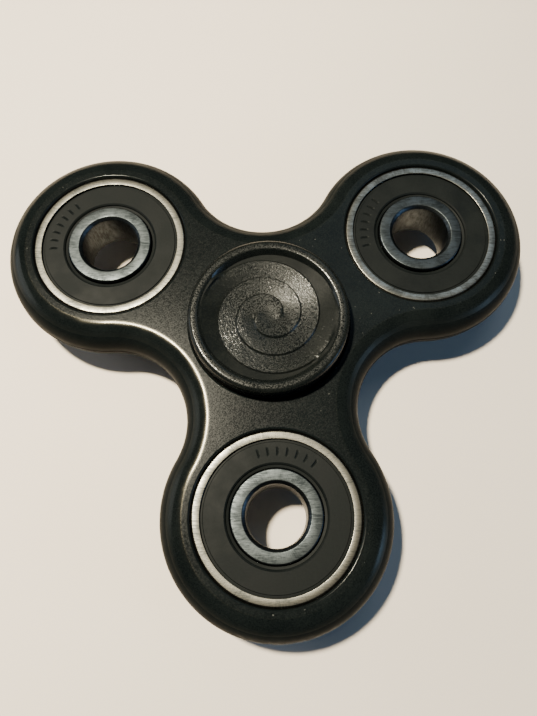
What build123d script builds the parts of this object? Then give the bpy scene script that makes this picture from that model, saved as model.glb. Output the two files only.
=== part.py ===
from build123d import *

import os
from math import atan2, cos, degrees, radians, sin, sqrt

# Three-lobed fidget spinner: a moulded frame, four ball bearings and two finger caps.
# The origin is the centre of the hub bearing. Z is the spin axis, and the front lobe lies along -Y.

# Ball bearing, standard size 608: 8 mm bore, 22 mm outside, 7 mm wide
BORE_RADIUS = 4.0
BEARING_RADIUS = 11.0
BEARING_WIDTH = 7.0
BALL_COUNT = 7
BALL_DIAMETER = 3.969
BALL_RADIUS = BALL_DIAMETER / 2
PITCH_RADIUS = 7.5
BALL_PLAY = 0.02
RACE_RADIUS = 2.06
INNER_LAND = 5.95
OUTER_LAND = 9.0
BORE_CHAMFER = 0.42
RING_CHAMFER = 0.3
LAND_EDGE_BREAK = 0.12
SEAL_SEAT_RADIUS = 9.77
SEAL_SEAT_DEPTH = 1.1
SEAL_SEAT_LIP = 0.25
SNAP_GROOVE_RADIUS = 9.95
SNAP_GROOVE_RISE = 0.35
SNAP_GROOVE_WIDTH = 0.4

# Rubber seal, snapped into the outer ring and clear of the inner ring
SEAL_INNER = 6.45
SEAL_OUTER = 9.92
SEAL_SINK = 0.25
SEAL_THICKNESS = 0.65
SEAL_FACE = BEARING_WIDTH / 2 - SEAL_SINK
SEAL_BACK = SEAL_FACE - SEAL_THICKNESS
SEAL_FACE_STEP = 0.12
SEAL_STEP_WIDTH = 0.25
SEAL_STEP_SLOPE = 0.1
SEAL_LIP_RADIUS = 6.15
SEAL_LIP_THICKNESS = 0.22
SEAL_RIM_LOW = BEARING_WIDTH / 2 - SEAL_SEAT_DEPTH + 0.38
SEAL_RIM_HIGH = SEAL_RIM_LOW + 0.34
SEAL_SHOULDER = SEAL_SEAT_RADIUS - 0.3
SEAL_RIM_FOOT = SEAL_SEAT_RADIUS - 0.15

# Pressed ribbon cage in two halves
RIBBON = 0.35
POCKET_PLAY = 0.06
POCKET_RADIUS = BALL_RADIUS + POCKET_PLAY
FIRST_BALL_ANGLE = 90
CAGE_INNER = 6.75
CAGE_OUTER = 8.25

# Moulded frame
ARM_LENGTH = 26.0
LOBE_RADIUS = 15.25
WAIST_ARC = 10.6
FRAME_THICKNESS = 7.5
EDGE_ROUND = 3.3
SEAT_CHAMFER = 0.2
PARTING_PROUD = 0.05
PARTING_WIDTH = 0.2
RADIUS_MATCH = 0.01

# Finger cap, pressed into the hub bearing's bore
CAP_RADIUS = 10.9
CAP_HEIGHT = 3.4
CAP_CLEARANCE = 0.4
CAP_CREST = BEARING_WIDTH / 2 + CAP_HEIGHT
CAP_UNDERSIDE = FRAME_THICKNESS / 2 + CAP_CLEARANCE
CAP_SHOULDER = 0.65
CAP_EDGE_BREAK = 0.3
CREST_INNER = 9.55
DISH_RADIUS = 9.2
DISH_RIM_DEPTH = 0.7
DISH_CENTRE_DEPTH = 1.1
BOSS_RADIUS = 5.5
STEM_END = 0.2
STEM_CORE_RADIUS = 2.5
CORE_TOP = 4.6

LOBES = {"front": -90.0, "right": 30.0, "left": 150.0}


def polar(distance, angle):
    """Point at a distance and an angle in degrees about the origin."""
    return (distance * cos(radians(angle)), distance * sin(radians(angle)))


def side_plane(x, y):
    """Plane through a bearing axis: local X is radial and local Y is up."""
    return Plane(origin=(x, y, 0), x_dir=(1, 0, 0), z_dir=(0, -1, 0))


def turned(name, x, y, section):
    """Revolve a section, drawn by a function, about the bearing axis at x, y."""
    with BuildPart() as piece:
        with BuildSketch(side_plane(x, y)):
            add(section())
        revolve(axis=Axis((x, y, 0), (0, 0, 1)))
    piece.part.label = name
    return piece.part


def outer_ring_section():
    """Ring with a ball race inside and a grooved seal seat at each face."""
    with BuildSketch() as section:
        half = BEARING_WIDTH / 2
        seat_floor = half - SEAL_SEAT_DEPTH
        with BuildLine():
            Polyline(
                (OUTER_LAND, seat_floor),
                (SNAP_GROOVE_RADIUS, seat_floor + SNAP_GROOVE_RISE),
                (SNAP_GROOVE_RADIUS, seat_floor + SNAP_GROOVE_RISE + SNAP_GROOVE_WIDTH),
                (SEAL_SEAT_RADIUS, half - SEAL_SEAT_LIP),
                (SEAL_SEAT_RADIUS, half),
                (BEARING_RADIUS - RING_CHAMFER, half),
                (BEARING_RADIUS, half - RING_CHAMFER),
                (BEARING_RADIUS, 0),
                (OUTER_LAND, 0),
                close=True,
            )
        make_face()
        mirror(about=Plane.XZ)
        race_centre = PITCH_RADIUS + BALL_RADIUS + BALL_PLAY - RACE_RADIUS
        with Locations((race_centre, 0)):
            Circle(RACE_RADIUS, mode=Mode.SUBTRACT)
    return section.sketch


def inner_ring_section():
    """Ring with a ball race outside and a chamfered bore."""
    with BuildSketch() as section:
        half = BEARING_WIDTH / 2
        with BuildLine():
            Polyline(
                (BORE_RADIUS, 0),
                (BORE_RADIUS, half - BORE_CHAMFER),
                (BORE_RADIUS + BORE_CHAMFER, half),
                (INNER_LAND - LAND_EDGE_BREAK, half),
                (INNER_LAND, half - LAND_EDGE_BREAK),
                (INNER_LAND, 0),
                close=True,
            )
        make_face()
        mirror(about=Plane.XZ)
        race_centre = PITCH_RADIUS - BALL_RADIUS - BALL_PLAY + RACE_RADIUS
        with Locations((race_centre, 0)):
            Circle(RACE_RADIUS, mode=Mode.SUBTRACT)
    return section.sketch


def seal_section():
    """Rim snapped in its groove, flat face, step near the middle and thin wiping lip."""
    with BuildSketch() as section:
        with BuildLine():
            Polyline(
                (SEAL_LIP_RADIUS, SEAL_BACK),
                (SEAL_LIP_RADIUS, SEAL_BACK + SEAL_LIP_THICKNESS),
                (SEAL_INNER, SEAL_BACK + SEAL_LIP_THICKNESS),
                (SEAL_INNER, SEAL_FACE - SEAL_FACE_STEP),
                (SEAL_INNER + SEAL_STEP_WIDTH, SEAL_FACE - SEAL_FACE_STEP),
                (SEAL_INNER + SEAL_STEP_WIDTH + SEAL_STEP_SLOPE, SEAL_FACE),
                (SEAL_SHOULDER, SEAL_FACE),
                (SEAL_RIM_FOOT, SEAL_RIM_HIGH),
                (SEAL_OUTER, SEAL_RIM_HIGH),
                (SEAL_OUTER, SEAL_RIM_LOW),
                (SEAL_SHOULDER, SEAL_BACK),
                close=True,
            )
        make_face()
    return section.sketch


def upside_down(name, solid):
    """Mirror image of a piece below the mid-plane."""
    with BuildPart() as piece:
        add(solid)
        mirror(about=Plane.XY, mode=Mode.REPLACE)
    piece.part.label = name
    return piece.part


def cage_half(name, x, y):
    """Upper half of a ribbon cage: a flat ring pressed up into a cup over each ball."""
    middle = Plane(origin=(x, y, 0))
    with BuildPart(middle) as half:
        with PolarLocations(PITCH_RADIUS, BALL_COUNT, start_angle=FIRST_BALL_ANGLE):
            Sphere(POCKET_RADIUS + RIBBON)
        with BuildSketch(middle):
            Circle(CAGE_OUTER)
            Circle(CAGE_INNER, mode=Mode.SUBTRACT)
        extrude(amount=POCKET_RADIUS + 2 * RIBBON, mode=Mode.INTERSECT)
        with BuildSketch(middle):
            Circle(CAGE_OUTER)
            Circle(CAGE_INNER, mode=Mode.SUBTRACT)
        extrude(amount=RIBBON)
        with PolarLocations(PITCH_RADIUS, BALL_COUNT, start_angle=FIRST_BALL_ANGLE):
            Sphere(POCKET_RADIUS, mode=Mode.SUBTRACT)
    half.part.label = name
    return half.part


def ball(name, x, y, angle):
    """One ball, at an angle on the pitch circle of the bearing at x, y."""
    across, along = polar(PITCH_RADIUS, angle)
    with BuildPart() as piece:
        with Locations((x + across, y + along, 0)):
            Sphere(BALL_RADIUS)
    piece.part.label = name
    return piece.part


def bearing(prefix, x, y):
    """All the pieces of one bearing."""
    seal_top = turned(f"{prefix}_seal_top", x, y, seal_section)
    cage_upper = cage_half(f"{prefix}_cage_upper", x, y)
    pieces = [
        turned(f"{prefix}_outer_ring", x, y, outer_ring_section),
        turned(f"{prefix}_inner_ring", x, y, inner_ring_section),
        seal_top,
        upside_down(f"{prefix}_seal_bottom", seal_top),
        cage_upper,
        upside_down(f"{prefix}_cage_lower", cage_upper),
    ]
    for number in range(BALL_COUNT):
        angle = FIRST_BALL_ANGLE + number * 360 / BALL_COUNT
        pieces.append(ball(f"{prefix}_ball_{number + 1}", x, y, angle))
    return pieces


def outline():
    """Plan of the frame: lobe arcs joined by concave waist arcs, all tangent."""
    reach = ARM_LENGTH * cos(radians(60))
    side = ARM_LENGTH * sin(radians(60))
    waist_centre = reach + sqrt((LOBE_RADIUS + WAIST_ARC) ** 2 - side**2)
    turn = 60 + degrees(atan2(side, waist_centre - reach))
    with BuildSketch() as plan:
        with BuildLine():
            for angle in LOBES.values():
                lobe_x, lobe_y = polar(ARM_LENGTH, angle)
                next_x, next_y = polar(ARM_LENGTH, angle + 120)
                start_x, start_y = polar(LOBE_RADIUS, angle - turn)
                tip_x, tip_y = polar(LOBE_RADIUS, angle)
                end_x, end_y = polar(LOBE_RADIUS, angle + turn)
                join_x, join_y = polar(LOBE_RADIUS, angle + 120 - turn)
                ThreePointArc(
                    (lobe_x + start_x, lobe_y + start_y),
                    (lobe_x + tip_x, lobe_y + tip_y),
                    (lobe_x + end_x, lobe_y + end_y),
                )
                ThreePointArc(
                    (lobe_x + end_x, lobe_y + end_y),
                    polar(waist_centre - WAIST_ARC, angle + 60),
                    (next_x + join_x, next_y + join_y),
                )
        make_face()
    return plan.sketch


def frame():
    """Moulded body with full-round edges, four bearing seats and a fine parting line."""
    plan = outline()
    seats = [(0, 0)] + [polar(ARM_LENGTH, angle) for angle in LOBES.values()]
    with BuildPart() as piece:
        add(plan)
        extrude(amount=FRAME_THICKNESS / 2, both=True)
        rims = piece.faces().filter_by(Axis.Z).edges()
        fillet(rims, radius=EDGE_ROUND)
        with BuildSketch():
            add(plan)
            offset(amount=PARTING_PROUD)
        extrude(amount=PARTING_WIDTH / 2, both=True)
        with Locations(*seats):
            Hole(BEARING_RADIUS)
        seat_edges = piece.edges().filter_by(GeomType.CIRCLE)
        seat_edges = seat_edges.filter_by(lambda edge: abs(edge.radius - BEARING_RADIUS) < RADIUS_MATCH)
        chamfer(seat_edges, length=SEAT_CHAMFER)
    piece.part.label = "frame"
    return piece.part


def cap_section():
    """Half section of the upper cap: cored stem, boss, dished disc and rounded rim."""
    with BuildSketch() as section:
        shoulder_low = CAP_CREST - CAP_SHOULDER
        crest_outer = CAP_RADIUS - CAP_SHOULDER
        half = BEARING_WIDTH / 2
        with BuildLine():
            Polyline(
                (0, CORE_TOP),
                (STEM_CORE_RADIUS, CORE_TOP),
                (STEM_CORE_RADIUS, STEM_END),
                (BORE_RADIUS - CAP_EDGE_BREAK, STEM_END),
                (BORE_RADIUS, STEM_END + CAP_EDGE_BREAK),
                (BORE_RADIUS, half),
                (BOSS_RADIUS, half),
                (BOSS_RADIUS, CAP_UNDERSIDE),
                (CAP_RADIUS - CAP_EDGE_BREAK, CAP_UNDERSIDE),
                (CAP_RADIUS, CAP_UNDERSIDE + CAP_EDGE_BREAK),
                (CAP_RADIUS, shoulder_low),
            )
            RadiusArc((CAP_RADIUS, shoulder_low), (crest_outer, CAP_CREST), -CAP_SHOULDER)
            Line((crest_outer, CAP_CREST), (CREST_INNER, CAP_CREST))
            Line((CREST_INNER, CAP_CREST), (DISH_RADIUS, CAP_CREST - DISH_RIM_DEPTH))
            sag = DISH_CENTRE_DEPTH - DISH_RIM_DEPTH
            dish_arc = (DISH_RADIUS**2 + sag**2) / (2 * sag)
            dish_middle = (0, CAP_CREST - DISH_CENTRE_DEPTH)
            RadiusArc((DISH_RADIUS, CAP_CREST - DISH_RIM_DEPTH), dish_middle, dish_arc)
            Line(dish_middle, (0, CORE_TOP))
        make_face()
    return section.sketch


cap_top = turned("cap_top", 0, 0, cap_section)
cap_bottom = upside_down("cap_bottom", cap_top)
spinner = [frame(), cap_top, cap_bottom]
spinner += bearing("hub", 0, 0)
for lobe_name, lobe_angle in LOBES.items():
    spinner += bearing(lobe_name, *polar(ARM_LENGTH, lobe_angle))

os.makedirs("parts", exist_ok=True)
for part in spinner:
    export_step(part, f"parts/{part.label}.step")
print(len(spinner), "pieces written")
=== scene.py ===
"""Looks of the three-lobed fidget spinner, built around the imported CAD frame."""

import math

import bmesh
import bpy
from mathutils import Matrix, Vector, noise


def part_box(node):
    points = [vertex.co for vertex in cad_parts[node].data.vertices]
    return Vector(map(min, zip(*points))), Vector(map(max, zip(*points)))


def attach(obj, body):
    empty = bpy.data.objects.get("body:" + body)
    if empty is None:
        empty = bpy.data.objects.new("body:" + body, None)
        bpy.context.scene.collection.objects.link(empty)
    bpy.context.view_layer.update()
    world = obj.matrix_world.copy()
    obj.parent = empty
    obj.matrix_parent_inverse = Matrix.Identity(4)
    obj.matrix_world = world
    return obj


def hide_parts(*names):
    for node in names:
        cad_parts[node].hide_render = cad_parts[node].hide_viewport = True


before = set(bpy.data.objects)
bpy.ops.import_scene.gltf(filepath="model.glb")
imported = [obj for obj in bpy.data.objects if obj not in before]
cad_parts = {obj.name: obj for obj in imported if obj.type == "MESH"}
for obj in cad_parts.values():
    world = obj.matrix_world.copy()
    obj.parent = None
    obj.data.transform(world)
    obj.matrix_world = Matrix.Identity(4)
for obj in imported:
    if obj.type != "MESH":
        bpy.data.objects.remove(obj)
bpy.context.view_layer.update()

MM = 0.001
LOBES = ("front", "right", "left")
BEARINGS = ("hub",) + LOBES
LOBE_ANGLE = {"front": -90.0, "right": 30.0, "left": 150.0}

# Driving sizes, in millimetres, the same as the CAD's
ARM_LENGTH = 26.0
LOBE_RADIUS = 15.25
WAIST_ARC = 10.6
HALF_THICK = 3.75
EDGE_ROUND = 3.3
SEAT_CHAMFER = 0.2
PARTING_PROUD = 0.09
BORE_RADIUS = 4.0
BEARING_RADIUS = 11.0
BEARING_HALF = 3.5
RACE_RADIUS = 2.06
CAP_RADIUS = 10.9
CAP_CREST = 6.9
CAP_SHOULDER = 0.65
CAP_UNDERSIDE = 4.15
CREST_INNER = 9.55


def centre_of(node):
    """Middle of a CAD node's box, in millimetres."""
    low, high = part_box(node)
    return (low + high) / 2 / MM


BEARING_CENTRE = {name: centre_of(f"{name}_outer_ring") for name in BEARINGS}


# ---------------------------------------------------------------- mesh helpers

def rounded(points, radius, steps=3):
    """A closed polygon with each corner turned into a small curve."""
    out = []
    count = len(points)
    for index, corner in enumerate(points):
        corner = Vector(corner)
        before = Vector(points[index - 1]) - corner
        after = Vector(points[(index + 1) % count]) - corner
        reach = min(radius, before.length * 0.45, after.length * 0.45)
        start = corner + before.normalized() * reach
        end = corner + after.normalized() * reach
        for step in range(steps + 1):
            t = step / steps
            out.append(start * (1 - t) ** 2 + corner * 2 * t * (1 - t) + end * t ** 2)
    return out


def new_object(name, bm, material, centre=(0, 0, 0), sharp_angle=35.0):
    """Turn a bmesh in millimetres into a smooth-shaded object standing at centre, in millimetres."""
    bmesh.ops.recalc_face_normals(bm, faces=bm.faces)
    mesh = bpy.data.meshes.new(name)
    bm.to_mesh(mesh)
    bm.free()
    mesh.transform(Matrix.Scale(MM, 4))
    mesh.shade_smooth()
    mesh.set_sharp_from_angle(angle=math.radians(sharp_angle))
    mesh.materials.append(material)
    piece = bpy.data.objects.new(name, mesh)
    piece.location = Vector(centre) * MM
    bpy.context.scene.collection.objects.link(piece)
    return piece


def even_turn(segments):
    """Angles evenly spaced round a full turn, in degrees."""
    return [360.0 * step / segments for step in range(segments)]


def lathe(name, profile, material, centre=(0, 0, 0), angles=None, dip=None):
    """Turn a closed (radius, height) profile about the vertical axis. A dip(radius, height, degrees) shifts points."""
    bm = bmesh.new()
    rings = []
    angles = angles or even_turn(192)
    for degrees in angles:
        angle = math.radians(degrees)
        across, along = math.cos(angle), math.sin(angle)
        shift = [dip(r, z, degrees) if dip else 0.0 for r, z in profile]
        rings.append([bm.verts.new((r * across, r * along, z + s)) for (r, z), s in zip(profile, shift)])
    for step, ring in enumerate(rings):
        following = rings[(step + 1) % len(rings)]
        for index in range(len(profile)):
            other = (index + 1) % len(profile)
            bm.faces.new((ring[index], ring[other], following[other], following[index]))
    return new_object(name, bm, material, centre)


def place(piece, body, slot, *nodes):
    """Ride a piece on its body and hide the CAD nodes it stands for. The slot argument is not used."""
    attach(piece, body)
    if nodes:
        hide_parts(*nodes)
    return piece


def blend_stops(stops, value):
    """Read a short list of (place, amount) stops at a value, easing from each stop to the next."""
    if value <= stops[0][0]:
        return stops[0][1]
    for (low, first), (high, second) in zip(stops, stops[1:]):
        if value <= high:
            share = (value - low) / (high - low)
            share = share * share * (3 - 2 * share)
            return first + (second - first) * share
    return stops[-1][1]


# ---------------------------------------------------------------- materials

class Nodes:
    """Short-hand for building one node material."""

    def __init__(self, name, **settings):
        self.material = bpy.data.materials.new(name)
        self.material.use_nodes = True
        self.tree = self.material.node_tree
        self.shader = self.tree.nodes["Principled BSDF"]
        for socket, value in settings.items():
            self.shader.inputs[socket.replace("_", " ")].default_value = value
        self.place = self.node("ShaderNodeTexCoord").outputs["Object"]

    def node(self, kind, **values):
        made = self.tree.nodes.new(kind)
        for key, value in values.items():
            setattr(made, key, value)
        return made

    def link(self, source, target):
        self.tree.links.new(source, target)

    def math(self, operation, first, second=None, clamp=False):
        made = self.node("ShaderNodeMath", operation=operation, use_clamp=clamp)
        for socket, value in zip(made.inputs, (first, second)):
            if isinstance(value, (int, float)):
                socket.default_value = value
            elif value is not None:
                self.link(value, socket)
        return made.outputs[0]

    def noise(self, scale, detail=3.0, roughness=0.55, place=None):
        made = self.node("ShaderNodeTexNoise")
        made.inputs["Scale"].default_value = scale
        made.inputs["Detail"].default_value = detail
        made.inputs["Roughness"].default_value = roughness
        self.link(place or self.place, made.inputs["Vector"])
        return made.outputs["Fac"]

    def ramp(self, value, low, high, out_low=0.0, out_high=1.0, smooth=True):
        made = self.node("ShaderNodeMapRange")
        made.interpolation_type = "SMOOTHSTEP" if smooth else "LINEAR"
        for socket, number in zip(("From Min", "From Max", "To Min", "To Max"), (low, high, out_low, out_high)):
            made.inputs[socket].default_value = number
        self.link(value, made.inputs["Value"])
        return made.outputs["Result"]

    def mix(self, share, first, second):
        made = self.node("ShaderNodeMix", data_type="RGBA")
        self.link(share, made.inputs["Factor"])
        for socket, colour in zip((made.inputs["A"], made.inputs["B"]), (first, second)):
            if isinstance(colour, tuple):
                socket.default_value = (*colour, 1.0)
            else:
                self.link(colour, socket)
        return made.outputs["Result"]

    def mix_value(self, share, first, second):
        made = self.node("ShaderNodeMix", data_type="FLOAT")
        self.link(share, made.inputs["Factor"])
        self.link(first, made.inputs["A"])
        self.link(second, made.inputs["B"])
        return made.outputs["Result"]

    def colour(self, source):
        self.link(source, self.shader.inputs["Base Color"])

    def rough(self, source):
        self.link(source, self.shader.inputs["Roughness"])

    def blend_noise(self, first, second, share):
        """Two noises added by share, the first's share and what is left for the second."""
        return self.math("ADD", self.math("MULTIPLY", first, share), self.math("MULTIPLY", second, 1.0 - share))

    def bump(self, *layers):
        """Stack (height, strength, distance in millimetres) layers of bump."""
        normal = None
        for height, strength, distance in layers:
            made = self.node("ShaderNodeBump")
            made.inputs["Strength"].default_value = strength
            made.inputs["Distance"].default_value = distance * MM
            self.link(height, made.inputs["Height"])
            if normal is not None:
                self.link(normal, made.inputs["Normal"])
            normal = made.outputs["Normal"]
        self.link(normal, self.shader.inputs["Normal"])

    def place_axes(self):
        """The place's x, y and z, each on its own."""
        split = self.node("ShaderNodeSeparateXYZ")
        self.link(self.place, split.inputs[0])
        return split.outputs

    def radius(self):
        """Distance from the object's own Z axis."""
        x, y, z = self.place_axes()
        return self.math("SQRT", self.math("ADD", self.math("MULTIPLY", x, x), self.math("MULTIPLY", y, y)))

    def polar(self, around, outward, upward):
        """Coordinates that run round the object's own Z axis, outward from it and up it, each scaled."""
        x, y, z = self.place_axes()
        joined = self.node("ShaderNodeCombineXYZ")
        self.link(self.math("MULTIPLY", self.math("ARCTAN2", y, x), around), joined.inputs[0])
        self.link(self.math("MULTIPLY", self.radius(), outward), joined.inputs[1])
        self.link(self.math("MULTIPLY", z, upward), joined.inputs[2])
        return joined.outputs[0]

    def upward(self):
        """How far the surface faces up or down: 1 on a flat face, 0 on a side wall."""
        split = self.node("ShaderNodeSeparateXYZ")
        self.link(self.node("ShaderNodeNewGeometry").outputs["Normal"], split.inputs[0])
        return self.math("ABSOLUTE", split.outputs[2])


def black_plastic(name, shine, side_rough_low, side_rough_high, tint=(1.0, 1.0, 1.0)):
    """Moulded black plastic: spark-eroded grain on the faces, a rubbed margin, glossy round edges, a little dust."""
    m = Nodes(name, IOR=1.5, Specular_IOR_Level=shine, Specular_Tint=(*tint, 1.0))
    up = m.upward()
    flat = m.ramp(up, 0.996, 0.9996)
    steep = m.ramp(up, 0.97, 0.80)
    grain = m.noise(6800, 2.0, 0.6)
    glint = m.noise(7600, 1.0)
    patch = m.noise(160, 3.0)
    smear = m.noise(420, 4.0, 0.6)
    tone = m.ramp(m.blend_noise(grain, patch, 0.7), 0.38, 0.66)
    plain = m.mix(tone, (0.0022, 0.0032, 0.0035), (0.0060, 0.0078, 0.0079))
    specks = m.ramp(m.noise(2300, 2.0, 0.7), 0.72, 0.75)
    gate = m.ramp(m.noise(90, 2.0), 0.48, 0.62)
    dust = m.math("MULTIPLY", m.math("MULTIPLY", specks, gate), flat)
    dusty = m.mix(dust, plain, (0.13, 0.13, 0.12))
    # The moulded parting ridge at mid-height on the steep sides gets a paler colour: a painted highlight for the light
    # the ridge catches.
    from_middle = m.math("ABSOLUTE", m.place_axes()[2])
    parting_ridge_highlight = m.ramp(from_middle, 0.00010, 0.00022, 1.0, 0.0)
    m.colour(m.mix(m.math("MULTIPLY", parting_ridge_highlight, steep), dusty, (0.032, 0.031, 0.028)))
    face_rough = m.ramp(glint, 0.36, 0.62, 0.30, 0.17)
    edge_rough = m.ramp(smear, 0.3, 0.7, 0.11, 0.17)
    side_rough = m.ramp(smear, 0.3, 0.7, side_rough_low, side_rough_high)
    m.rough(m.mix_value(steep, m.mix_value(flat, edge_rough, face_rough), side_rough))
    relief = m.math("MULTIPLY", m.ramp(flat, 0.0, 1.0, 0.3, 1.0), grain)
    m.bump((relief, 0.45, 0.009), (smear, 0.12, 0.02))
    return m.material


def cap_plastic(name, shine, rough_low, rough_high, turning):
    """The same plastic with a grain that glitters, turned in fine rings inside the swirl."""
    m = Nodes(name, IOR=1.5, Specular_IOR_Level=shine)
    grain = m.noise(7200, 1.0, 0.65)
    glint = m.noise(7000, 0.0)
    patch = m.noise(300, 3.0)
    radius = m.radius()
    turned = m.noise(1.0, 2.0, 0.6, m.polar(9.0, 7000.0, 0.0))
    swirl = m.math("MULTIPLY", m.ramp(radius, 0.0022, 0.0044), m.ramp(radius, 0.0078, 0.0086, 1.0, 0.15))
    tone = m.ramp(m.blend_noise(grain, patch, 0.7), 0.38, 0.66)
    m.colour(m.mix(tone, (0.0022, 0.0031, 0.0033), (0.0074, 0.0086, 0.0078)))
    m.rough(m.ramp(glint, 0.40, 0.60, rough_high, rough_low))
    m.bump((m.math("MULTIPLY", turned, swirl), 1.0, turning), (grain, 0.6, 0.016))
    return m.material


def ground_steel(name, dark, light, rough_low, rough_high):
    """Ring steel: short grinding scratches across the face, turning lines round the bore and a clouded film."""
    m = Nodes(name, Metallic=1.0)
    slant = m.node("ShaderNodeMapping")
    slant.inputs["Rotation"].default_value = (0.0, 0.0, math.radians(62))
    slant.inputs["Scale"].default_value = (900.0, 9000.0, 900.0)
    m.link(m.place, slant.inputs["Vector"])
    scratch = m.noise(1.0, 3.0, 0.6, slant.outputs[0])
    radial = m.noise(1.0, 4.0, 0.65, m.polar(70.0, 900.0, 900.0))
    lines = m.noise(1.0, 3.0, 0.6, m.polar(1.2, 9000.0, 9000.0))
    cloud = m.noise(420, 4.0, 0.6)
    mixed = m.math("ADD", m.math("MULTIPLY", scratch, 0.4), m.math("MULTIPLY", radial, 0.25))
    mixed = m.math("ADD", mixed, m.math("MULTIPLY", cloud, 0.35))
    m.colour(m.mix(m.ramp(mixed, 0.38, 0.62), dark, light))
    m.rough(m.ramp(mixed, 0.35, 0.65, rough_high, rough_low))
    m.bump((scratch, 0.5, 0.012), (radial, 0.3, 0.01), (lines, 0.15, 0.004))
    return m.material


def seal_rubber():
    """Dull moulded rubber with faint rings and a dusty bloom."""
    m = Nodes("seal_rubber", IOR=1.5, Specular_IOR_Level=0.085)
    lines = m.noise(1.0, 2.0, 0.5, m.polar(0.5, 5200.0, 0.0))
    grain = m.noise(5000, 2.0)
    bloom = m.noise(230, 4.0, 0.6)
    tone = m.ramp(m.blend_noise(bloom, grain, 0.6), 0.35, 0.7)
    m.colour(m.mix(tone, (0.0024, 0.0034, 0.0036), (0.0052, 0.0066, 0.0066)))
    m.rough(m.ramp(bloom, 0.3, 0.7, 0.48, 0.62))
    m.bump((lines, 0.15, 0.01), (grain, 0.4, 0.012))
    return m.material


def ball_steel():
    """Polished ball steel under a thin oil film."""
    m = Nodes("ball_steel", Metallic=1.0)
    film = m.noise(600, 3.0)
    m.colour(m.mix(m.ramp(film, 0.3, 0.7), (0.62, 0.62, 0.63), (0.74, 0.73, 0.71)))
    m.rough(m.ramp(film, 0.3, 0.7, 0.06, 0.14))
    m.bump((m.noise(4000, 2.0), 0.05, 0.003))
    return m.material


def cage_steel():
    """Pressed sheet steel, duller where the film is thick."""
    m = Nodes("cage_steel", Metallic=1.0)
    film = m.noise(1500, 4.0, 0.6)
    m.colour(m.mix(m.ramp(film, 0.3, 0.7), (0.36, 0.34, 0.31), (0.56, 0.53, 0.48)))
    m.rough(m.ramp(film, 0.3, 0.7, 0.28, 0.42))
    m.bump((film, 0.3, 0.01))
    return m.material


BLACK_FACE = black_plastic("black_plastic_face", 0.08, 0.30, 0.40)
BLACK_EDGE = black_plastic("black_plastic_edge", 0.13, 0.36, 0.44, tint=(1.0, 0.92, 0.74))
BLACK_SIDE = black_plastic("black_plastic_side", 0.02, 0.36, 0.44)
CAP = cap_plastic("cap_plastic", 0.155, 0.14, 0.36, 0.042)
CAP_STRIP = cap_plastic("cap_plastic_strip", 0.04, 0.40, 0.50, 0.008)
OUTER_STEEL = ground_steel("outer_ring_steel", (0.040, 0.042, 0.040), (0.21, 0.20, 0.175), 0.25, 0.38)
INNER_STEEL = ground_steel("inner_ring_steel", (0.012, 0.0145, 0.016), (0.056, 0.064, 0.069), 0.36, 0.48)
RUBBER = seal_rubber()
BALL = ball_steel()
CAGE = cage_steel()


# ---------------------------------------------------------------- frame

def outline_points(per_lobe=260, per_waist=70):
    """Points round the widest outline with their outward normals."""
    reach = ARM_LENGTH * math.cos(math.radians(60))
    side = ARM_LENGTH * math.sin(math.radians(60))
    waist_centre = reach + math.sqrt((LOBE_RADIUS + WAIST_ARC) ** 2 - side ** 2)
    turn = 60 + math.degrees(math.atan2(side, waist_centre - reach))
    out = []
    for angle in LOBE_ANGLE.values():
        middle = Vector((math.cos(math.radians(angle)), math.sin(math.radians(angle)))) * ARM_LENGTH
        for step in range(per_lobe):
            a = math.radians(angle - turn + 2 * turn * step / per_lobe)
            normal = Vector((math.cos(a), math.sin(a)))
            out.append((middle + normal * LOBE_RADIUS, normal))
        pivot_angle = math.radians(angle + 60)
        pivot = Vector((math.cos(pivot_angle), math.sin(pivot_angle))) * waist_centre
        sweep = 2 * (turn - 60)
        for step in range(per_waist):
            a = math.radians(angle + turn + 180 - sweep * step / per_waist)
            inward = Vector((math.cos(a), math.sin(a)))
            out.append((pivot + inward * WAIST_ARC, -inward))
    return out


CROWN_TILT = 0.07           # slope, in radians, where the crowned face meets the round
CROWN_WIDTH = 0.36
EDGE_START = HALF_THICK - CROWN_TILT * CROWN_WIDTH / 8      # heights, in millimetres, below which the round edge
SIDE_START = 2.9                                            # and then the duller side wall begin


def edge_section(steps=14):
    """Crowned face margin and half-round edge as (distance in from the outline, height), top face to bottom face."""
    crown_foot = EDGE_ROUND * (1 - math.sin(CROWN_TILT))
    drop = CROWN_TILT * CROWN_WIDTH / 2
    arc_centre = HALF_THICK - drop - EDGE_ROUND * math.cos(CROWN_TILT)
    upper = [(crown_foot + CROWN_WIDTH + 0.07, HALF_THICK)]
    for step in range(6):
        inward = CROWN_WIDTH * (1 - step / 5)
        upper.append((crown_foot + inward, HALF_THICK - drop * (1 - inward / CROWN_WIDTH) ** 2))
    for step in range(1, steps + 1):
        tilt = CROWN_TILT + (math.pi / 2 - CROWN_TILT) * step / steps
        upper.append((EDGE_ROUND * (1 - math.sin(tilt)), arc_centre + EDGE_ROUND * math.cos(tilt)))
    upper += [(0.0, 0.14), (-0.7 * PARTING_PROUD, 0.10), (-PARTING_PROUD, 0.04)]
    return upper + [(inset, -height) for inset, height in reversed(upper)]


def knock(point, height):
    """Depth of the small dents along the front lobe's outer edge."""
    centre = BEARING_CENTRE["front"]
    angle = math.degrees(math.atan2(point.y - centre.y, point.x - centre.x))
    spread = blend_stops([(-128, 0), (-108, 1), (-78, 1), (-52, 0)], angle)
    level = blend_stops([(-1.4, 0), (0.2, 1), (1.6, 1), (2.6, 0)], height)
    if spread * level == 0:
        return 0.0
    rough = noise.noise(Vector((point.x, point.y, height)) * 1.7)
    chip = noise.noise(Vector((point.x + 40, point.y, height)) * 3.4)
    return spread * level * (0.16 * max(0.0, rough - 0.05) + 0.10 * max(0.0, chip - 0.1))


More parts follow.
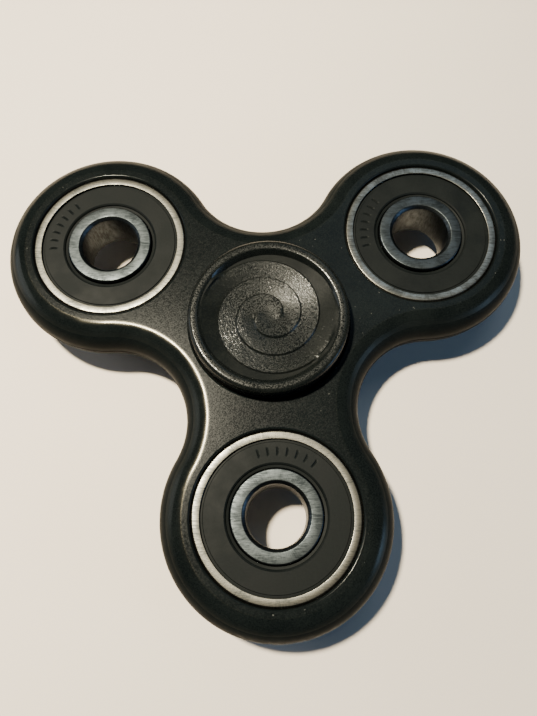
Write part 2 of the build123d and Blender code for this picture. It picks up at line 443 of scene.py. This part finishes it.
def seat_loops(centre):
    """Circles down a bearing seat, as lists of positions."""
    margin = 0.07
    chamfer = [
        (BEARING_RADIUS + SEAT_CHAMFER + margin, HALF_THICK),
        (BEARING_RADIUS + SEAT_CHAMFER, HALF_THICK),
        (BEARING_RADIUS + SEAT_CHAMFER * 0.6, HALF_THICK - SEAT_CHAMFER * 0.18),
        (BEARING_RADIUS + SEAT_CHAMFER * 0.18, HALF_THICK - SEAT_CHAMFER * 0.6),
        (BEARING_RADIUS, HALF_THICK - SEAT_CHAMFER),
    ]
    section = chamfer + [(radius, -height) for radius, height in reversed(chamfer)]
    loops = []
    for radius, height in section:
        loop = []
        for step in range(192):
            a = 2 * math.pi * step / 192
            loop.append((centre.x + radius * math.cos(a), centre.y + radius * math.sin(a), height))
        loops.append(loop)
    return loops


def bridge(bm, loops):
    """Skin a list of equal closed loops, and return their vertices."""
    made = [[bm.verts.new(spot) for spot in loop] for loop in loops]
    for first, second in zip(made, made[1:]):
        for index in range(len(first)):
            other = (index + 1) % len(first)
            bm.faces.new((first[index], first[other], second[other], second[index]))
    return made


def make_frame():
    """The one-piece moulding: round edge, four bearing seats and flat faces, as one closed skin."""
    bm = bmesh.new()
    points = outline_points()
    loops = []
    for inset, height in edge_section():
        loop = []
        for point, normal in points:
            spot = point - normal * (inset + knock(point, height))
            loop.append((spot.x, spot.y, height))
        loops.append(loop)
    skins = [bridge(bm, loops)]
    for face in bm.faces:
        level = abs(face.calc_center_median().z)
        face.material_index = int(level < EDGE_START) + int(level < SIDE_START)
    for centre in BEARING_CENTRE.values():
        skins.append(bridge(bm, seat_loops(centre)))
    for end in (0, -1):
        edges = []
        for skin in skins:
            ring = skin[end]
            for index, vert in enumerate(ring):
                edges.append(bm.edges.get((vert, ring[(index + 1) % len(ring)])))
        bmesh.ops.triangle_fill(bm, use_beauty=True, use_dissolve=False, edges=edges)
    moulding = new_object("frame_moulding", bm, BLACK_FACE, sharp_angle=50)
    for skin_material in (BLACK_EDGE, BLACK_SIDE):
        moulding.data.materials.append(skin_material)
    return place(moulding, "rotor", "frame_plastic", "frame")


# ---------------------------------------------------------------- bearings

def race(centre, reach, direction, steps=12):
    """Points up a ball race: an arc about a radius, facing outward or inward along the direction."""
    points = []
    for step in range(steps + 1):
        a = math.radians(reach * (2 * step / steps - 1))
        points.append((centre + direction * RACE_RADIUS * math.cos(a), RACE_RADIUS * math.sin(a)))
    return points


def outer_ring_profile():
    """Section of an outer ring: lands, seal grooves, faces and race."""
    land = 9.0
    upper = [
        (land, 2.4), (9.95, 2.75), (9.95, 3.15), (9.77, 3.25), (9.77, BEARING_HALF),
        (BEARING_RADIUS - 0.3, BEARING_HALF), (BEARING_RADIUS, BEARING_HALF - 0.3),
    ]
    lower = [(r, -z) for r, z in reversed(upper)]
    return rounded(upper + lower, 0.07) + race(7.4445, 41.0, 1)


def inner_ring_profile():
    """Section of an inner ring: lands, faces, broken bore edges and race."""
    bore_edge, land = 0.42, 5.95
    upper = [
        (land, BEARING_HALF - 0.12), (land - 0.12, BEARING_HALF), (BORE_RADIUS + bore_edge, BEARING_HALF),
        (BORE_RADIUS, BEARING_HALF - bore_edge),
    ]
    lower = [(r, -z) for r, z in reversed(upper)]
    return rounded(upper + lower, 0.09) + race(7.5555, 38.8, -1)


SEAL_FACE = 3.25
SEAL_FACE_INNER = 6.74
SEAL_FACE_OUTER = 9.36
MARKS_EACH_SIDE = 3         # of the middle one, in a row of plain V-shaped notches on each seal
MARK_RADIUS = 8.15
MARK_LENGTH = 1.15
MARK_WIDTH = 0.34
MARK_DEPTH = 0.14
MARK_STEP = 9.0             # degrees from notch to notch


def seal_profile(sign):
    """Lip, face, rim groove and rim of a seal, with close rows on the face for the notches."""
    lip = rounded([(6.10, 2.62), (6.10, 2.82), (6.48, 2.88), (6.56, SEAL_FACE - 0.12)], 0.05)[1:]
    rows = 24
    span = SEAL_FACE_OUTER - SEAL_FACE_INNER
    face = [Vector((SEAL_FACE_INNER + span * row / rows, SEAL_FACE)) for row in range(rows + 1)]
    rim = [(9.45, SEAL_FACE - 0.14), (9.60, SEAL_FACE - 0.14), (9.68, 3.1), (9.92, 3.1), (9.92, 2.78), (9.47, 2.6)]
    rim = [Vector(point) for point in rim]
    return [Vector((point.x, sign * point.y)) for point in lip + face + rim]


def mark_dip(sign, middle_angle):
    """How far the seal's face sinks at a radius and an angle, for short grooves that point outward."""
    def dip(radius, height, degrees):
        if abs(height) < SEAL_FACE - 0.01:
            return 0.0
        place_in_row = (degrees - middle_angle + 180.0) % 360.0 - 180.0
        index = max(-MARKS_EACH_SIDE, min(MARKS_EACH_SIDE, round(place_in_row / MARK_STEP)))
        aside = radius * math.radians(place_in_row - index * MARK_STEP)
        beyond = max(0.0, abs(radius - MARK_RADIUS) - (MARK_LENGTH - MARK_WIDTH) / 2)
        inside = MARK_WIDTH / 2 - math.hypot(aside, beyond)
        return -sign * MARK_DEPTH * max(inside, 0.0) / (MARK_WIDTH / 2)
    return dip


def seal_angles(middle_angle):
    """Close steps where the notches are and wide ones elsewhere, in degrees."""
    fine, coarse = 0.6, 2.5
    reach = 33.0
    close = [middle_angle - reach + fine * step for step in range(round(2 * reach / fine))]
    wide = [middle_angle + reach + coarse * step for step in range(round((360 - 2 * reach) / coarse))]
    return close + wide


def make_bearing(name):
    """Rings and seals of one bearing, each on the body that turns it."""
    centre = BEARING_CENTRE[name]
    mark_angle = {"hub": 90, "front": 78, "right": 165, "left": 155}[name]
    inner_body = "hub" if name == "hub" else f"{name}_inner"
    ring = lathe(f"{name}_outer_ring_turned", outer_ring_profile(), OUTER_STEEL, centre)
    place(ring, "rotor", "ring_steel", f"{name}_outer_ring")
    ring = lathe(f"{name}_inner_ring_turned", inner_ring_profile(), INNER_STEEL, centre)
    place(ring, inner_body, "ring_steel", f"{name}_inner_ring")
    for side, sign in (("top", 1), ("bottom", -1)):
        seal = lathe(
            f"{name}_seal_{side}_moulded", seal_profile(sign), RUBBER, centre,
            seal_angles(mark_angle), mark_dip(sign, mark_angle),
        )
        place(seal, "rotor", "seal_rubber", f"{name}_seal_{side}")


# ---------------------------------------------------------------- finger caps

SWIRL_START = 180.0         # direction in which the first arm leaves the rim, in degrees
SWIRL_RADIUS = 9.34         # radius at which it leaves
SWIRL_PITCH = 5.03          # how far an arm comes inward in one turn
SWIRL_WALL = 0.22           # width of the step along an arm
STRIP_ROWS = 8
FADE_MIDDLE = 56.0          # angle past an arm's start where the dull strip beside the rim gives way to the bright
FADE_SPREAD = 70.0
FADE_GRAIN = (1.37, 2.11)   # how fast the noise that scatters that change varies along and across the strip
CENTRE_DEPTH = 0.92
# Depth below the crest against the angle that an arm has turned since it left the rim
FOOT_DEPTH = [(0, 0.22), (34, 0.22), (52, 0.95), (100, 1.0), (460, 1.0), (525, 0.97), (575, CENTRE_DEPTH)]
TOP_DEPTH = [(0, 0.22), (52, 0.74), (100, 0.78), (460, 0.80), (525, 0.83), (575, CENTRE_DEPTH)]
RIM_DEPTH = [(0, 0.22), (34, 0.22), (52, 0.95), (120, 0.88), (155, 0.52), (180, 0.22)]


def arm_radius(turned):
    """Radius of a swirl arm, by the angle in degrees it has turned since it left the rim."""
    return SWIRL_RADIUS - SWIRL_PITCH * turned / 360.0


def strip_place(turned, share):
    """Radius and depth, some share of the way in across the strip outside an arm."""
    foot = blend_stops(FOOT_DEPTH, turned)
    top = blend_stops(RIM_DEPTH, turned) if turned <= 180 else blend_stops(TOP_DEPTH, turned - 180.0)
    edge = CREST_INNER - 0.12 - 0.5 * top if turned <= 180 else SWIRL_RADIUS
    outer = max(min(arm_radius(turned - 180.0) - SWIRL_WALL / 2, edge), 0.0)
    inner = min(max(arm_radius(turned) + SWIRL_WALL / 2, 0.0), outer)
    radius = outer + (inner - outer) * share
    depth = top + (foot - top) * share
    near_middle = max(0.0, 1.0 - radius / 1.2)
    return radius, depth + (CENTRE_DEPTH - depth) * near_middle


def cap_outside():
    """(radius, height) points from the dish's edge over the crest and shoulder, down the stem and back to the axis."""
    shoulder_centre = CAP_RADIUS - CAP_SHOULDER
    points = [(CREST_INNER - 0.10, CAP_CREST - 0.13), (CREST_INNER - 0.02, CAP_CREST - 0.07)]
    points += [(CREST_INNER + 0.06, CAP_CREST - 0.04), (CREST_INNER + 0.28, CAP_CREST)]
    points.append((shoulder_centre - 0.05, CAP_CREST))
    for step in range(9):
        a = math.radians(90 - 90 * step / 8)
        rise = CAP_SHOULDER * math.sin(a)
        points.append((shoulder_centre + CAP_SHOULDER * math.cos(a), CAP_CREST - CAP_SHOULDER + rise))
    points += [(CAP_RADIUS, CAP_UNDERSIDE + 0.3), (CAP_RADIUS - 0.08, CAP_UNDERSIDE + 0.09)]
    points += [(CAP_RADIUS - 0.3, CAP_UNDERSIDE), (5.6, CAP_UNDERSIDE), (5.5, CAP_UNDERSIDE - 0.1), (5.5, BEARING_HALF)]
    points += [(BORE_RADIUS, BEARING_HALF), (BORE_RADIUS, 0.5), (BORE_RADIUS - 0.3, 0.2), (2.5, 0.2), (2.5, 4.6)]
    return points + [(0.0, 4.6)]


def make_cap(name, node, side):
    """Finger cap: disc, boss and stem, with the two-armed swirl worked into its dish. Side is 1 above, -1 below."""
    bm = bmesh.new()
    columns, bands = 300, 5
    outside = cap_outside()
    for half in (0, 1):
        before = None
        for column in range(columns + 1):
            turned = 180.0 * column / columns
            angle = math.radians(SWIRL_START - 180.0 * half - turned)
            section = []
            for band in reversed(range(bands)):
                for row in reversed(range(STRIP_ROWS)):
                    radius, depth = strip_place(turned + 180.0 * band, row / (STRIP_ROWS - 1))
                    section.append((radius, CAP_CREST - depth))
            section += outside
            verts = [bm.verts.new((r * math.cos(angle), side * r * math.sin(angle), side * z)) for r, z in section]
            if before:
                for index in range(len(verts) - 1):
                    face = bm.faces.new((before[index], before[index + 1], verts[index + 1], verts[index]))
                    fade = FADE_SPREAD * noise.noise(Vector((column * FADE_GRAIN[0], index * FADE_GRAIN[1], 0.5)))
                    dull_bands = 2 if turned + fade < FADE_MIDDLE else 1
                    outermost = (bands - dull_bands) * STRIP_ROWS <= index < bands * STRIP_ROWS - 1
                    face.material_index = int(outermost)
            before = verts
    bmesh.ops.remove_doubles(bm, verts=bm.verts, dist=2e-3)
    bmesh.ops.dissolve_degenerate(bm, edges=bm.edges, dist=1e-4)
    open_edges = [edge for edge in bm.edges if edge.is_boundary]
    if open_edges:
        bmesh.ops.holes_fill(bm, edges=open_edges, sides=24)
    cap = new_object(name, bm, CAP, sharp_angle=38)
    cap.data.materials.append(CAP_STRIP)
    return place(cap, "hub", "cap_plastic", node)


# ---------------------------------------------------------------- build

make_frame()
for bearing in BEARINGS:
    make_bearing(bearing)
make_cap("finger_cap_upper", "cap_top", 1)
make_cap("finger_cap_lower", "cap_bottom", -1)
for node_name, node_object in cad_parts.items():
    for kind, material in (("_ball_", BALL), ("_cage_", CAGE)):
        if kind in node_name:
            node_object.data.materials.clear()
            node_object.data.materials.append(material)


# ---------------------------------------------------------------- stage, light and camera

FLOOR_HEIGHT = -CAP_CREST


def make_floor():
    """A wide sheet of pale paper under the lower cap, a little darker away from the light."""
    bm = bmesh.new()
    bmesh.ops.create_grid(bm, x_segments=8, y_segments=8, size=1500.0)
    m = Nodes("floor_paper", IOR=1.45)
    cloud = m.noise(9, 3.0)
    x, y, z = m.place_axes()
    across = m.math("SUBTRACT", x, m.math("MULTIPLY", y, 0.5))
    tone = m.math("ADD", m.ramp(across, -0.05, 0.06, 0.75, 0.0), m.math("MULTIPLY", cloud, 0.3), clamp=True)
    m.colour(m.mix(tone, (0.61, 0.543, 0.482), (0.85, 0.733, 0.622)))
    m.rough(m.ramp(cloud, 0.3, 0.7, 0.62, 0.75))
    m.bump((m.noise(1800, 3.0), 0.12, 0.02))
    floor = new_object("paper_floor", bm, m.material)
    floor.location.z = FLOOR_HEIGHT * MM


def lamp(name, location, target, size, power, colour):
    """A disk lamp in millimetres that points at a target."""
    data = bpy.data.lights.new(name, "AREA")
    data.shape = "DISK"
    data.size = size * MM
    data.energy = power
    data.color = colour
    made = bpy.data.objects.new(name, data)
    made.location = Vector(location) * MM
    made.rotation_euler = (Vector(target) - Vector(location)).to_track_quat("-Z", "Y").to_euler()
    bpy.context.scene.collection.objects.link(made)


def make_light():
    """One warm key from above and behind, cool weak fills from the sides, and a dim blue room."""
    lamp("key", (-99, 62, 342), (0, 0, 0), 30, 4.6, (1.0, 0.915, 0.70))
    lamp("blue_fill", (330, -120, 120), (0, 0, 0), 125, 0.42, (0.34, 0.60, 1.0))
    lamp("left_fill", (-330, 60, 130), (0, 0, 0), 200, 0.34, (0.82, 0.91, 1.0))
    lamp("sky_fill", (95, 153, 256), (22, 13, 3), 150, 0.095, (0.62, 0.82, 1.0))
    world = bpy.data.worlds.new("soft_room")
    world.use_nodes = True
    world.node_tree.nodes["Background"].inputs["Color"].default_value = (0.55, 0.75, 1.0, 1.0)
    world.node_tree.nodes["Background"].inputs["Strength"].default_value = 0.016
    bpy.context.scene.world = world


def make_camera():
    """The photograph's viewing angle."""
    data = bpy.data.cameras.new("camera")
    data.lens = 30.72
    data.sensor_width = 36.0
    data.clip_start = 0.001
    camera = bpy.data.objects.new("camera", data)
    camera.location = Vector((-0.688, -29.554, 82.83)) * MM
    camera.rotation_euler = [math.radians(turn) for turn in (17.056, 0.352, -2.207)]
    bpy.context.scene.collection.objects.link(camera)
    bpy.context.scene.camera = camera


make_floor()
make_light()
make_camera()
